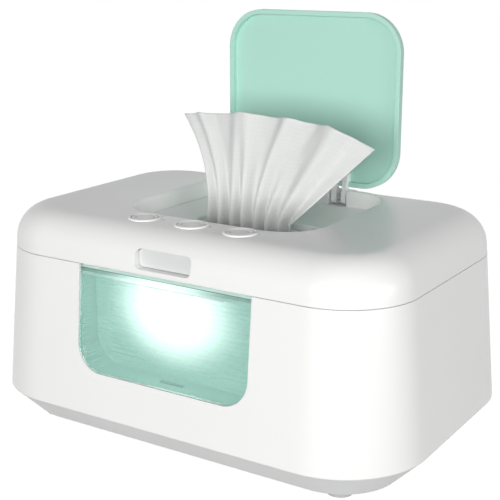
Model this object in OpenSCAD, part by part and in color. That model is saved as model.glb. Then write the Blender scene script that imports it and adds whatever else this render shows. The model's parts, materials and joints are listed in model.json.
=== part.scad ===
// Wipe warmer: a heated tub for moist wipes in a soft-cornered housing, with a
// hinged top cover, a dispensing lid, a night light window and three push buttons.
// Millimetres. +Z is up, the window faces -Y, and the origin is the middle of the
// footprint at the level of the feet.

/* [Body] */
// Width of the housing at its widest line
body_w = 240; // [232:1:260]
// Depth of the housing at its widest line
body_d = 164; // [162:1:176]
// Height of the closed warmer without the lid
body_h = 114; // [110:1:130]
// Corner radius of the housing seen from above
corner_r = 44; // [40:1:50]
// Draft of the side walls in degrees
draft = 5; // [3:0.5:6]
// Radius of the edge between the walls and the top
top_round = 17; // [13:1:18]
// Wall thickness of the moulded shells
wall = 2.4; // [2:0.1:2.8]

/* [Base] */
// Height of the base pan, whose sides slope in at 45 degrees
base_h = 14.5; // [12:0.5:16]
// Height of the rubber feet
foot_h = 3; // [2:0.5:5]
// Radius of a rubber foot
foot_r = 7; // [5:0.5:8]
// Distance of a foot from the side of the housing
foot_in_x = 34; // [32:1:42]
// Distance of a foot from the front or back of the housing
foot_in_y = 26; // [25:1:32]
// Distance of a base screw from the side of the housing
screw_in_x = 54; // [48:1:58]
// Distance of a base screw from the front or back of the housing
screw_in_y = 18.4; // [17.6:0.1:19.4]

/* [Window] */
// Width of the night light window
window_w = 100; // [80:1:106]
// Height of the window below the seam of the top cover
window_h = 53.5; // [40:0.5:56]
// Radius of the two lower window corners
window_r = 14; // [8:1:18]
// Set-back of the pane from the outer face of the wall
pane_sink = 0.9; // [0.4:0.1:1.2]
// Thickness of the pane
pane_t = 2; // [1.6:0.1:2.4]
// Pitch of the ribs on the diffuser
rib_pitch = 2.4; // [2:0.1:4]

/* [Top cover] */
// Height of the top cover, from its seam to the top
cover_h = 20.8; // [20:0.2:22.6]
// Gap of the seam under the top cover
seam_gap = 0.25; // [0.2:0.05:0.4]
// Distance from the middle of a cover hinge to the middle of the body
hinge_x = 58; // [45:1:70]
// Radius of the cover hinge barrels
barrel_r = 2.9; // [2.7:0.1:3]
// Radius of the cover hinge pins
pin_r = 1.25; // [1:0.05:1.4]

/* [Lid well] */
// Width of the well in the top cover
well_w = 109.4; // [100:0.2:112]
// Depth of the well from front to back
well_d = 99.4; // [92:0.2:100]
// Corner radius of the well
well_r = 22.3; // [19:0.1:25]
// Place of the middle of the well, behind the middle of the body
well_y = 9.7; // [9:0.1:10.4]
// Depth of the well below the top
well_depth = 9; // [8.4:0.1:9.6]
// Radius of the rounded rim of the well
rim_r = 2; // [1:0.1:2.5]

/* [Lid] */
// Gap between the lid and the sides of the well
lid_gap = 1.2; // [0.8:0.1:2]
// Length of the lid from its hinge edge to its front edge
lid_d = 94.4; // [86:0.2:95]
// Thickness of the lid panel
lid_t = 2; // [1.6:0.1:2.4]
// Height of the skirt round the lid
skirt_h = 5; // [4:0.1:5.4]
// Width of the rim inside the lid
lid_rim = 2.6; // [1.8:0.1:3.4]
// Distance from the middle to each hinge arm
arm_x = 20; // [18:1:30]
// Width of a hinge arm over its two prongs
arm_w = 9; // [8:0.5:12]
// Width of one prong
prong_w = 2.8; // [2:0.1:3]

/* [Dispenser] */
// Length of the slot that the wipes come through
slot_w = 74; // [60:1:76]
// Width of that slot
slot_d = 26; // [22:1:30]
// Number of soft fingers along each side of the slot
fingers = 7; // [5:1:8]

/* [Buttons] */
// Distance between the three buttons
button_pitch = 28; // [24:1:32]
// Radius of a button
button_r = 6.6; // [5:0.1:6.6]
// Distance from the middle of the buttons to the front wall of the well
button_back = 10.8; // [10.6:0.1:12]
// Height of a button above the top
button_rise = 1.3; // [0.8:0.1:2]
// Travel of a button
button_travel = 0.8; // [0.5:0.1:0.8]
// Width of the cover latch button
latch_w = 32; // [26:1:36]
// Height of the cover latch button
latch_h = 9; // [8:0.2:9.4]
// Distance that the latch button sits back from the front face
latch_sink = 3.4; // [2.4:0.1:4]
// Travel of the latch button
latch_travel = 2; // [1:0.1:2]

/* [Tub] */
// Room between the side of the housing and the wipe tub
tub_room_x = 21; // [20:0.5:23]
// Room in front of the tub and behind it, for the light and the electronics
tub_room_y = 23; // [23:0.5:25]
// Wall of the wipe tub
tank_wall = 1.5; // [1.2:0.1:2]
// Corner radius of the wipe tub
tank_r = 24; // [18:1:28]
// Room between the folded wipes and the ends of the tub
wipe_room_x = 4.5; // [2:0.5:10]
// Room between the folded wipes and the long sides of the tub
wipe_room_y = 5.5; // [2:0.5:10]
// Number of folded wipes drawn in the stack
wipe_layers = 14; // [8:1:15]
// Height of one folded wipe in the stack
layer_h = 4; // [3:0.1:4]
// Distance from the outline of the tub to that of the heater plate
heater_inset = 10; // [8:1:20]

/* [Pulled wipe] */
// Width of the pulled wipe at its top edge
fan_w = 113; // [90:1:120]
// Place of the left end of the top edge, left of the middle
fan_left = 47; // [40:1:56]
// Height of the wipe's top edge above the housing
fan_h = 39.5; // [20:0.5:60]
// Distance between two pleats at the top edge, as a share of its width
pleat_pitch = 0.23; // [0.18:0.01:0.3]
// Depth of a pleat at the top edge
pleat_depth = 6.5; // [3:0.5:8]

/* [Hidden] */
$fn = 48;

// clearances and small standard sizes
fit = 0.3;          // between parts that pass each other
slip = 0.06;        // between a pin and the bore that turns on it
tiny = 0.01;

// places of what follows the housing's size
foot_x = body_w / 2 - foot_in_x;
foot_y = body_d / 2 - foot_in_y;
screw_x = body_w / 2 - screw_in_x;
screw_y = body_d / 2 - screw_in_y;
tank_w = body_w - 2 * tub_room_x;
tank_d = body_d - 2 * tub_room_y;
wipe_w = tank_w - 2 * tank_wall - 2 * wipe_room_x;
wipe_d = tank_d - 2 * tank_wall - 2 * wipe_room_y;
heater_w = tank_w - 2 * heater_inset;
heater_d = tank_d - 2 * heater_inset;
heater_r = tank_r - heater_inset;
liner_screw_x = body_w / 2 - 36;
liner_screw_y = body_d / 2 - 38;

// levels of the housing
z_base = foot_h + base_h;            // widest line, where the shell meets the base pan
z_seam = body_h - cover_h;           // top edge of the shell
z_cover = z_seam + seam_gap;         // bottom edge of the top cover
z_floor = foot_h + wall;             // inside of the base pan
tongue_h = 1.8;                      // locating tongue on the shell
tongue_t = 1.1;

// centre of the round edge between wall and top, from the outline of the body
edge_z = body_h - top_round;
edge_x = (-top_round - (edge_z - z_base) * sin(draft)) / cos(draft);

// place of the wall at a height, off millimetres under its outer face
function wall_x(off, z) = -(z - z_base) * tan(draft) - off / cos(draft);
// place of the outer surface at a height on the round edge
function edge_out(z) = edge_x + sqrt(pow(top_round, 2) - pow(z - edge_z, 2));
function skin_x(z) = z < edge_z + top_round * sin(draft) ? wall_x(0, z) : edge_out(z);

// how far in from the outline a swept profile reaches before a slab takes over
core_in = 4 - edge_x;

// levels in the stack under the tub
post_z = foot_h + 6;
pad_t = 2;
film_t = 0.5;
plate_t = 2;
plate_z = post_z + pad_t + film_t;
tank_z = plate_z + plate_t;
flange_t = 1.6;
tank_top = z_seam - 0.7;
shoulder_w = 1.6;                    // bead of the tub that the frame lies on
shoulder_h = 1.4;
seal_h = z_seam + 1 - fit - tank_top;

// top cover
liner_t = 1.8;
liner_z = z_seam + 1;
hinge_y = body_d / 2 - barrel_r - 0.2;
hinge_len = 26;
ear_len = 5;
pocket_wall = 1.8;
well_z = body_h - well_depth;        // top of the dispenser insert at its edge
insert_t = 2;
ledge_z = well_z - insert_t;
ledge_w = 5;
ledge_t = 2;
well_front = well_y - well_d / 2;
well_back = well_y + well_d / 2;

// lid, drawn closed and turned open about its pivot
lid_w = well_w - 2 * lid_gap;
lid_r = well_r - lid_gap;
lid_top = body_h - 0.2;
lid_back = well_back - 3.4;
lid_y = lid_back - lid_d / 2;
lid_edge_r = 1.5;
pivot_y = well_back + 3.55;
pivot_z = body_h - 5.75;
knuckle_r = 2.6;
lid_pin_r = 1.2;
arm_low = pivot_z - 1.8;
pocket_w = arm_w + 2.2;
pocket_z = pivot_z - knuckle_r - 0.8;
pocket_back = pivot_y + knuckle_r + 1.5;
catch_w = 9;
catch_h = 1.2;
catch_z = lid_top - lid_t - 1.8;
lid_open = -90;

// dispenser dish
dish_w = well_w - 2 * ledge_w - 1.6;
dish_d = well_d - 2 * ledge_w - 1.6;
dish_r = well_r - ledge_w;
dish_drop = 4.5;
dish_run = 9;
dish_z = well_z - dish_drop;
gasket_t = 1.6;
gasket_z = dish_z - insert_t - gasket_t;
slot_y = well_y;

// buttons
button_y = well_front - button_back;
board_t = 1.6;
switch_h = 3;
plunger_h = 0.6;
button_flange = 1;
flange_z = body_h - wall - fit - button_flange;
board_z = flange_z - button_travel - 0.2 - plunger_h - switch_h - board_t;
latch_z = z_cover + 7.2;
latch_y = -body_d / 2 - skin_x(latch_z);
sleeve_t = 1.5;
sleeve_len = 9;
hook_t = 2;
hook_w = 12;
keeper_y = -(tank_d / 2 + 9.2);
leaf_w = 26;
leaf_t = 0.4;
leaf_bow = latch_travel - 0.4;
leaf_y = latch_y + sleeve_len + 0.4 + hook_t + leaf_bow + leaf_t + 0.2;
leaf_r = (pow(leaf_w / 2, 2) + pow(leaf_bow, 2)) / 2 / leaf_bow;
leaf_a = asin(leaf_w / 2 / leaf_r);
board_w = 2 * button_pitch + 48;
board_screw_x = board_w / 2 - 6;

// night light chamber between the window and the tub
chamber_top = z_seam - 4.2;
chamber_back = -tank_d / 2 - 0.8;
chamber_wall = 1.4;
led_board_w = 64;

// control board and power inlet behind the tub
board_x0 = -58;
board_x1 = 30;
main_board_t = 1.6;
main_board_y = tank_d / 2 + 6;
main_board_z = foot_h + 6;
main_board_h = 42;
inlet_x = 48;
inlet_z = 27;
inlet_r = 4.6;
inlet_y1 = body_d / 2 + wall_x(0, inlet_z) - 0.6;
inlet_y0 = inlet_y1 - 13;
inlet_body = 7.6;

// soft fingers round the slot, and the wipe that comes through it
finger_len = slot_d / 2 - 2.4;
end_finger = 4;
wipe_t = 0.9;
wipe_u = 42;                         // cells across the wipe
wipe_v = 11;                         // cells up the wipe
wipe_low = tank_z + tank_wall + wipe_layers * layer_h + 0.4;
wipe_half = slot_w / 2 - 6.5;

// flat patterns
module rounded_rect(w, d, r) {
  square([w, d - 2 * r], center = true);
  square([w - 2 * r, d], center = true);
  for (sx = [-1, 1], sy = [-1, 1])
    translate([sx * (w / 2 - r), sy * (d / 2 - r)]) circle(r);
}

// the same with each corner in short straight steps, for openings in the curved skin
module stepped_rect(w, d, r, steps = 6)
  polygon([for (c = [[1, 1, 0], [-1, 1, 90], [-1, -1, 180], [1, -1, 270]], k = [0:steps])
    let (a = c[2] + 90 * k / steps) [c[0] * (w / 2 - r) + r * cos(a), c[1] * (d / 2 - r) + r * sin(a)]]);

module slab(w, d, r, z0, z1)
  translate([0, 0, z0]) linear_extrude(z1 - z0) rounded_rect(w, d, r);

// carries a profile round a rounded rectangle; its x is 0 on the outline, outwards positive,
// and its inner edge stays off the corners' axes, where a slab fills the middle
module around(w, d, r)
  for (k = [0:3]) {
    across = k % 2 == 0 ? w : d;
    along = k % 2 == 0 ? d : w;
    rotate([0, 0, 90 * k]) {
      translate([across / 2, along / 2 - r, 0])
        rotate([90, 0, 0]) linear_extrude(along - 2 * r) children();
      translate([across / 2 - r, along / 2 - r, 0])
        rotate_extrude(angle = 90) translate([r, 0]) children();
    }
  }

// slab that fills the body's outline, drawn in by a margin
module inner_slab(inset, z0, z1)
  slab(body_w - 2 * inset, body_d - 2 * inset, corner_r - inset, z0, z1);

// region inside the body's side profile, off millimetres under its skin
module under_skin(off) {
  tangent = [edge_x + (top_round - off) * cos(draft), edge_z + (top_round - off) * sin(draft)];
  polygon([[-core_in - 2, 0], [wall_x(off, 0), 0], tangent, [edge_x, edge_z],
    [edge_x, body_h - off], [-core_in - 2, body_h - off]]);
  intersection() {
    translate([edge_x, edge_z]) circle(top_round - off);
    translate([edge_x, edge_z]) square(top_round);
  }
}

module band(z0, z1) translate([-core_in, z0]) square([core_in + 5, z1 - z0]);

// ring of wall between two depths under the skin and two heights
module wall_ring(off0, off1, z0, z1)
  around(body_w, body_d, corner_r)
    intersection() {
      difference() {
        under_skin(off0);
        under_skin(off1);
      }
      band(z0, z1);
    }

// upright plate in the plane of the front wall: the outline is in x and z
module upright(y0, y1)
  translate([0, y1, 0]) rotate([90, 0, 0]) linear_extrude(y1 - y0) children();

// window outline, grown by a margin; straight at the seam and round below
module window_outline(grow, top) {
  w = window_w + 2 * grow;
  r = window_r + grow;
  low = z_seam - window_h - grow;
  translate([-w / 2, low + r]) square([w, top - low - r]);
  translate([-w / 2 + r, low]) square([w - 2 * r, r + 1]);
  for (s = [-1, 1]) translate([s * (w / 2 - r), low + r]) circle(r);
}

// slice of the sloping front wall between two depths under its face
module front_slice(off0, off1, z0, z1, w)
  translate([-w / 2, 0, 0]) rotate([90, 0, 90]) linear_extrude(w)
    polygon([for (p = [[off0, z0], [off1, z0], [off1, z1], [off0, z1]])
      [-body_d / 2 - wall_x(p[0], p[1]), p[1]]]);

module each_corner(x, y)
  for (sx = [-1, 1], sy = [-1, 1]) translate([sx * x, sy * y, 0]) children();

// round barrel along x
module rod_x(r, x0, x1, y, z)
  translate([x0, y, z]) rotate([0, 90, 0]) cylinder(r = r, h = x1 - x0);

// self-tapping screw, head down
module screw(shank_r, head_r, head_h, len, z) {
  translate([0, 0, z]) {
    difference() {
      cylinder(r = head_r, h = head_h);
      for (a = [0, 90]) rotate([0, 0, a])
        translate([-head_r * 0.6, -0.4, -tiny]) cube([head_r * 1.2, 0.8, head_h * 0.55]);
    }
    cylinder(r = shank_r, h = len);
  }
}

// housing
module outer_shell() color("white") difference() {
  boss_top = z_base + 18;
  union() {
    wall_ring(0, wall, z_base, z_seam);
    wall_ring(wall - tongue_t, wall, z_seam - 1, z_seam + tongue_h);
    // screw bosses, each tied to the wall by a rib
    for (sx = [-1, 1], a = [0, 180]) translate([sx * screw_x, 0, 0]) rotate([0, 0, a]) {
      translate([0, screw_y, post_z]) cylinder(r = 3.6, h = boss_top - post_z);
      translate([-1, screw_y, z_base + 2])
        cube([2, body_d / 2 + wall_x(wall / 4, boss_top) - screw_y, boss_top - z_base - 2]);
    }
    // ears for the cover hinges
    for (sx = [-1, 1], end = [-1, 1])
      translate([sx * hinge_x + end * (hinge_len - ear_len) / 2 - ear_len / 2, 0, 0]) {
        rod_x(barrel_r, 0, ear_len, hinge_y, z_seam);
        translate([0, body_d / 2 + wall_x(wall / 2, z_seam), z_seam - barrel_r])
          cube([ear_len, hinge_y - body_d / 2 - wall_x(wall / 2, z_seam), barrel_r]);
      }
    // collar round the power inlet
    translate([inlet_x, inlet_y0 + inlet_body + 0.2, inlet_z]) rotate([-90, 0, 0])
      cylinder(r = inlet_r + 2, h = body_d / 2 + wall_x(wall / 2, inlet_z) - inlet_y0 - inlet_body - 0.2);
  }
  upright(-body_d / 2 - 1, -body_d / 2 + 14) window_outline(0, z_seam + 10);
  each_corner(screw_x, screw_y) translate([0, 0, post_z - 1]) cylinder(r = 1.45, h = 14);
  for (sx = [-1, 1])
    rod_x(pin_r, sx * hinge_x - hinge_len / 2 - 1, sx * hinge_x + hinge_len / 2 + 1, hinge_y, z_seam);
  translate([inlet_x, body_d / 2 - 14, inlet_z]) rotate([-90, 0, 0]) cylinder(r = inlet_r, h = 20);
}

// height of the middle of the pan's sloping side at a distance back
function slope_z(y) = foot_h + wall / sqrt(2) + y - (body_d / 2 - base_h);

module base_pan() color("white") {
  slope_t = wall * sqrt(2);
  difference() {
    union() {
      around(body_w, body_d, corner_r)
        polygon([[-core_in, foot_h], [-base_h, foot_h], [0, z_base], [-slope_t, z_base],
          [-slope_t - z_base + z_floor, z_floor], [-core_in, z_floor]]);
      inner_slab(core_in - 2, foot_h, z_floor);
      // tongue that centres the shell
      around(body_w, body_d, corner_r)
        translate([wall_x(wall, z_base) - 0.2 - 1.4, z_base - 1.4]) square([1.4, 3.4]);
      each_corner(screw_x, screw_y) translate([0, 0, foot_h + wall / 2])
        cylinder(r = 5, h = post_z - foot_h - wall / 2);
      // posts under the heater
      for (x = [-1:1], y = [-1, 1])
        translate([x * (heater_w / 2 - 18), y * (heater_d / 2 - 15), foot_h])
          cylinder(r = 4, h = post_z - foot_h);
      // slotted posts that hold the control board
      for (x = [board_x0 + 3, board_x1 - 3]) translate([x - 3, main_board_y - 2.4, z_floor - 0.4])
        cube([6, main_board_t + 4.8, 22 - z_floor]);
      // cradle under the power inlet, standing on the sloping side
      translate([inlet_x - 7, 0, 0]) rotate([90, 0, 90]) linear_extrude(14)
        polygon([for (y = [inlet_y0 + 1, inlet_y0 + inlet_body]) [y, slope_z(y)],
          for (y = [inlet_y0 + inlet_body, inlet_y0 + 1]) [y, inlet_z - 6]]);
    }
    each_corner(screw_x, screw_y) {
      translate([0, 0, foot_h - 1]) cylinder(r = 1.8, h = 10);
      translate([0, 0, foot_h - 1]) cylinder(r = 3.3, h = 4);
    }
    each_corner(foot_x, foot_y) translate([0, 0, foot_h - 1]) cylinder(r = 2.5, h = wall + 2);
    for (x = [board_x0 + 3, board_x1 - 3])
      translate([x - 4, main_board_y - 0.1, main_board_z]) cube([8, main_board_t + 0.2, 20]);
    // vents
    for (x = [-40:16:40], y = [-12, 12]) translate([x, y, foot_h - 1])
      slab(3, 14, 1.4, 0, wall + 2);
  }
}

module rubber_feet() color("gray") each_corner(foot_x, foot_y) {
  cylinder(r1 = foot_r - 0.7, r2 = foot_r, h = foot_h);
  cylinder(r = 2.4, h = foot_h + wall);
  translate([0, 0, foot_h + wall]) cylinder(r1 = 3.1, r2 = 2, h = 1.4);
}

module base_screws() color("silver") each_corner(screw_x, screw_y) screw(1.45, 2.9, 2, 12, foot_h + 1);

module window_pane() color([0.55, 0.82, 0.74]) {
  intersection() {
    upright(-body_d / 2 - 1, -body_d / 2 + 20) window_outline(-0.15, z_seam - 0.05);
    front_slice(pane_sink, pane_sink + pane_t, z_seam - window_h - 1, z_seam + 1, window_w + 2);
  }
  // flange that bears on the inside of the wall
  intersection() {
    upright(-body_d / 2 - 1, -body_d / 2 + 20) window_outline(3, z_seam - 2.4);
    front_slice(wall, wall + 1.2, z_seam - window_h - 5, z_seam + 1, window_w + 8);
  }
}

module light_chamber() color([0.6, 0.85, 0.78]) {
  front = wall + 1.2;
  difference() {
    intersection() {
      upright(-body_d / 2, chamber_back) window_outline(2.6, chamber_top);
      front_slice(front, 40, z_seam - window_h - 6, z_seam, window_w + 8);
    }
    upright(-body_d / 2 - 1, chamber_back - chamber_wall)
      window_outline(2.6 - chamber_wall, chamber_top - chamber_wall);
    // drain slot in the floor
    translate([-7, chamber_back - 9, z_seam - window_h - 4]) cube([14, 3, 4]);
  }
  // ribs of the diffuser
  ribs = floor((window_h - 14) / rib_pitch);
  for (k = [0:ribs - 1])
    rod_x(0.6, -window_w / 2 + window_r / 2, window_w / 2 - window_r / 2,
      chamber_back - chamber_wall, z_seam - window_h + 5 + k * rib_pitch);
}

module night_light_board() color("white")
  translate([-led_board_w / 2, chamber_back - chamber_wall - 9.5, chamber_top - chamber_wall - 1.2])
    cube([led_board_w, 8, 1.2]);

module night_light_leds() color("lightyellow") for (x = [-16, 0, 16])
  translate([x, chamber_back - chamber_wall - 5.5, chamber_top - chamber_wall - 2.6]) {
    translate([-1.75, -1.4, 0.2]) cube([3.5, 2.8, 1.2]);
    cylinder(r = 1.1, h = 0.4);
  }

// tub for the wipes, with a shoulder under its rim
module tank() color("whitesmoke") difference() {
  union() {
    slab(tank_w, tank_d, tank_r, tank_z, tank_top);
    around(tank_w, tank_d, tank_r) translate([-tank_wall / 2, tank_top - flange_t - shoulder_h])
      square([tank_wall / 2 + shoulder_w, shoulder_h]);
  }
  slab(tank_w - 2 * tank_wall, tank_d - 2 * tank_wall, tank_r - tank_wall,
    tank_z + tank_wall, tank_top + 1);
}

// frame that lies on the tub's shoulder and closes the space round it
module tub_frame() color("white") difference() {
  edge_gap = 0.8;
  edge = wall_x(wall + edge_gap, tank_top);
  slab(body_w + 2 * edge, body_d + 2 * edge, corner_r + edge, tank_top - flange_t, tank_top);
  slab(tank_w + 2 * fit, tank_d + 2 * fit, tank_r + fit, tank_top - flange_t - 1, tank_top + 1);
  // keeper notch for the latch hook
  translate([-hook_w / 2 - 1, keeper_y, tank_top - flange_t - 1])
    cube([hook_w + 2, -tank_d / 2 - keeper_y, flange_t + 2]);
}

// soft seal on the tub's rim
module tank_seal() color("gainsboro")
  around(tank_w, tank_d, tank_r) translate([-tank_wall / 2, tank_top]) {
    translate([-tank_wall / 2, 0]) square([tank_wall, seal_h - tank_wall / 2]);
    intersection() {
      translate([0, seal_h - tank_wall / 2]) circle(tank_wall / 2);
      translate([-tank_wall / 2, seal_h - tank_wall / 2]) square([tank_wall, tank_wall]);
    }
  }

module heater_plate() color("silver")
  slab(heater_w, heater_d, heater_r, plate_z, plate_z + plate_t);

module heating_element() color("orange")
  slab(heater_w - 8, heater_d - 8, heater_r - 4, plate_z - film_t, plate_z);

module insulation_pad() color("beige") difference() {
  slab(heater_w, heater_d, heater_r, post_z, post_z + pad_t);
  translate([0, 0, post_z - 1]) cylinder(r = 9, h = pad_t + 2);
  translate([36, -4, post_z - 1]) cube([10, 8, pad_t + 2]);
}

module thermal_cutout() color("dimgray") translate([0, 0, post_z - 2]) {
  cylinder(r = 8, h = pad_t + 2);
  for (s = [-1, 1]) translate([s * 9 - 2.5, -1.6, -0.6]) cube([5, 3.2, 0.6]);
  translate([-8, -1.6, -0.6]) cube([16, 3.2, 0.7]);
}

module temperature_sensor() color("black") translate([41, 0, post_z + pad_t - 1.6]) {
  translate([-4, -2.2, 0]) cube([8, 4.4, 1.6]);
  for (y = [-1, 1]) translate([0, y, -3.4]) cylinder(r = 0.35, h = 3.5);
}

// control board behind the tub
module control_board() color("green") translate([board_x0, main_board_y, main_board_z])
  cube([board_x1 - board_x0, main_board_t, main_board_h]);

module control_board_parts() color("black") translate([board_x0, main_board_y + main_board_t, main_board_z]) {
  // relay, chip, two capacitors and a wire socket
  translate([10, 0, 22]) cube([15, 7.5, 12]);
  translate([34, 0, 18]) cube([10, 1.6, 10]);
  for (x = [52, 64]) {
    translate([x, 4.2, 18]) cylinder(r = 4, h = 9);
    translate([x - 3, 0, 19]) cube([6, 3, 7]);
  }
  translate([72, 0, 20]) cube([9, 5.5, 6]);
}

// round power socket with its centre pin
module power_inlet() color("black") difference() {
  union() {
    translate([inlet_x - 5.5, inlet_y0, inlet_z - 6]) cube([11, inlet_body, 11.5]);
    translate([inlet_x, inlet_y0 + 4, inlet_z]) rotate([-90, 0, 0])
      cylinder(r = inlet_r - 0.1, h = inlet_y1 - inlet_y0 - 4);
    for (s = [-1, 1]) translate([inlet_x + s * 3 - 0.4, inlet_y0 - 2.4, inlet_z - 1.5]) cube([0.8, 3, 3]);
  }
  difference() {
    translate([inlet_x, inlet_y0 + 3, inlet_z]) rotate([-90, 0, 0]) cylinder(r = 3.1, h = 20);
    translate([inlet_x, inlet_y0 + 2, inlet_z]) rotate([-90, 0, 0]) cylinder(r = 1.05, h = 9.5);
  }
}

module cover_hinge_pins() color("silver") for (sx = [-1, 1])
  rod_x(pin_r, sx * hinge_x - hinge_len / 2, sx * hinge_x + hinge_len / 2, hinge_y, z_seam);

// stack of folded wipes, each layer a little shorter or longer than the next
module wipe_stack() color("white") for (k = [0:wipe_layers - 1]) {
  trim = 0.8 * (k % 2) + 0.5 * (k % 3);
  low = tank_z + tank_wall + k * layer_h;
  slab(wipe_w - trim, wipe_d - 2 * trim, 6, low, low + layer_h + (k < wipe_layers - 1 ? tiny : 0));
}

// top cover
module hinge_knuckle(sx) {
  len = hinge_len - 2 * ear_len - 0.6;
  translate([sx * hinge_x - len / 2, 0, 0]) {
    rod_x(barrel_r, 0, len, hinge_y, z_seam);
    translate([0, body_d / 2 + wall_x(0.6, z_cover + barrel_r), z_cover])
      cube([len, hinge_y - body_d / 2 - wall_x(0.6, z_cover + barrel_r), barrel_r - seam_gap]);
  }
}

module button_places() for (k = [-1:1]) translate([k * button_pitch, button_y, 0]) children();
module indicator_places()
  for (k = [-1:1]) translate([k * button_pitch + button_r + 3, button_y + 2, 0]) children();
module liner_places() each_corner(liner_screw_x, liner_screw_y) children();
module board_places()
  for (x = [-board_screw_x, board_screw_x]) translate([x, button_y - 4, 0]) children();

module top_cover() color("white") difference() {
  union() {
    difference() {
      union() {
        around(body_w, body_d, corner_r) difference() {
          intersection() {
            difference() {
              under_skin(0);
              under_skin(wall);
            }
            band(z_cover, body_h + 1);
          }
          intersection() {
            under_skin(wall - tongue_t - fit);
            band(z_cover - 1, z_seam + tongue_h + fit);
          }
        }
        inner_slab(core_in - 2, body_h - wall, body_h);
      }
      translate([0, well_y, 0]) slab(well_w + wall, well_d + wall, well_r + wall / 2, ledge_z, body_h + 1);
    }
    // wall of the lid well, with its rounded rim and the ledge for the insert
    translate([0, well_y, 0]) around(well_w, well_d, well_r) {
      polygon([[-ledge_w, ledge_z - ledge_t], [wall, ledge_z - ledge_t], [wall, body_h], [rim_r, body_h],
        [rim_r, body_h - rim_r], [0, body_h - rim_r], [0, ledge_z], [-ledge_w, ledge_z]]);
      intersection() {
        translate([rim_r, body_h - rim_r]) circle(rim_r);
        translate([0, body_h - rim_r]) square(rim_r);
      }
    }
    // bump on the front wall of the well that the lid's notch snaps over
    translate([-catch_w / 2 + 0.5, well_front - wall / 2, catch_z])
      cube([catch_w - 1, wall / 2 + lid_y - lid_d / 2 - well_front - fit, catch_h]);
    // pockets for the lid's hinge arms
    for (s = [-1, 1])
      translate([s * arm_x - pocket_w / 2 - pocket_wall, well_back + wall / 2, pocket_z - pocket_wall])
        cube([pocket_w + 2 * pocket_wall, pocket_back - well_back - wall / 2 + pocket_wall,
          body_h - wall / 2 - pocket_z + pocket_wall]);
    // sleeve round the latch button
    intersection() {
      upright(latch_y - 2, latch_y + sleeve_len)
        translate([0, latch_z])
          stepped_rect(latch_w + 2 * fit + 2 * sleeve_t, latch_h + 2 * fit + 2 * sleeve_t, 3 + sleeve_t);
      translate([-latch_w, 0, 0]) rotate([90, 0, 90]) linear_extrude(2 * latch_w)
        translate([-body_d / 2, 0]) mirror([1, 0]) under_skin(wall / 2);
    }
    // posts for the liner and the button board
    liner_places() translate([0, 0, liner_z + liner_t])
      cylinder(r = 3.5, h = body_h - wall / 2 - liner_z - liner_t);
    board_places() translate([0, 0, board_z + board_t])
      cylinder(r = 2.6, h = body_h - wall / 2 - board_z - board_t);
    // posts behind the ends of the latch spring
    for (sx = [-1, 1]) translate([sx * (leaf_w / 2 - 1) - 2, leaf_y + leaf_t, latch_z - 3])
      cube([4, 1.6, body_h - wall / 2 - latch_z + 3]);
    for (sx = [-1, 1]) hinge_knuckle(sx);
  }
  for (s = [-1, 1]) {
    translate([s * arm_x - pocket_w / 2, well_back - 1, pocket_z])
      cube([pocket_w, pocket_back - well_back + 1, body_h]);
    rod_x(lid_pin_r, s * arm_x - pocket_w, s * arm_x + pocket_w, pivot_y, pivot_z);
  }
  upright(latch_y - 12, latch_y + 14)
    translate([0, latch_z]) stepped_rect(latch_w + 2 * fit, latch_h + 2 * fit, 3);
  button_places() translate([0, 0, body_h - 6]) cylinder(r = button_r + fit, h = 8);
  indicator_places() translate([0, 0, body_h - 6]) cylinder(r = 1, h = 8);
  liner_places() translate([0, 0, liner_z]) cylinder(r = 1.2, h = 12);
  board_places() translate([0, 0, board_z]) cylinder(r = 0.9, h = 6.6);
  for (sx = [-1, 1])
    rod_x(pin_r + slip, sx * hinge_x - hinge_len / 2, sx * hinge_x + hinge_len / 2, hinge_y, z_seam);
}

module cover_liner() color("white") difference() {
  liner_x = wall_x(wall + 0.4, liner_z);
  slab(body_w + 2 * liner_x, body_d + 2 * liner_x, corner_r + liner_x, liner_z, liner_z + liner_t);
  translate([0, slot_y, 0]) slab(slot_w + 16, slot_d + 16, 14, liner_z - 1, liner_z + liner_t + 1);
  liner_places() translate([0, 0, liner_z - 1]) cylinder(r = 1.6, h = liner_t + 2);
  // way for the latch sleeve and hook
  translate([-latch_w / 2 - 3, -body_d / 2, liner_z - 1])
    cube([latch_w + 6, body_d / 2 + keeper_y + 9, liner_t + 2]);
}

module liner_screws() color("silver") liner_places() screw(1.15, 2.6, 1.4, 9, liner_z - 1.4);

// dished insert with the slot
module dispenser_insert() color("white") difference() {
  edge = ledge_w + 0.8 - 0.4;
  union() {
    translate([0, well_y, 0]) {
      around(dish_w, dish_d, dish_r)
        polygon([[edge, well_z], [edge, ledge_z], [0.3, ledge_z], [-dish_run, dish_z - insert_t],
          [-dish_run - 3, dish_z - insert_t], [-dish_run - 3, dish_z], [-dish_run + 1, dish_z],
          [0.5, well_z]]);
      slab(dish_w - 2 * dish_run - 2, dish_d - 2 * dish_run - 2, dish_r - dish_run - 1,
        dish_z - insert_t, dish_z);
      // raised lip round the slot
      around(slot_w, slot_d, slot_d / 2 - 0.5) translate([1, dish_z]) circle(1);
      // ring that holds the gasket
      around(slot_w + 12, slot_d + 12, 12) translate([0, gasket_z - 0.2]) square([1.4, gasket_t + 0.4]);
    }
  }
  translate([0, slot_y, 0]) slab(slot_w, slot_d, slot_d / 2 - 0.5, dish_z - 8, dish_z + 3);
}

// soft gasket: a plate with fingers that bend up round the wipe
module finger(len, w, tilt)
  rotate([-tilt, 0, 0]) linear_extrude(1)
    polygon([[-w / 2, 0], [w / 2, 0], [w * 0.24, -len + 1.2], [0.6, -len], [-0.6, -len],
      [-w * 0.24, -len + 1.2]]);

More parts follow.
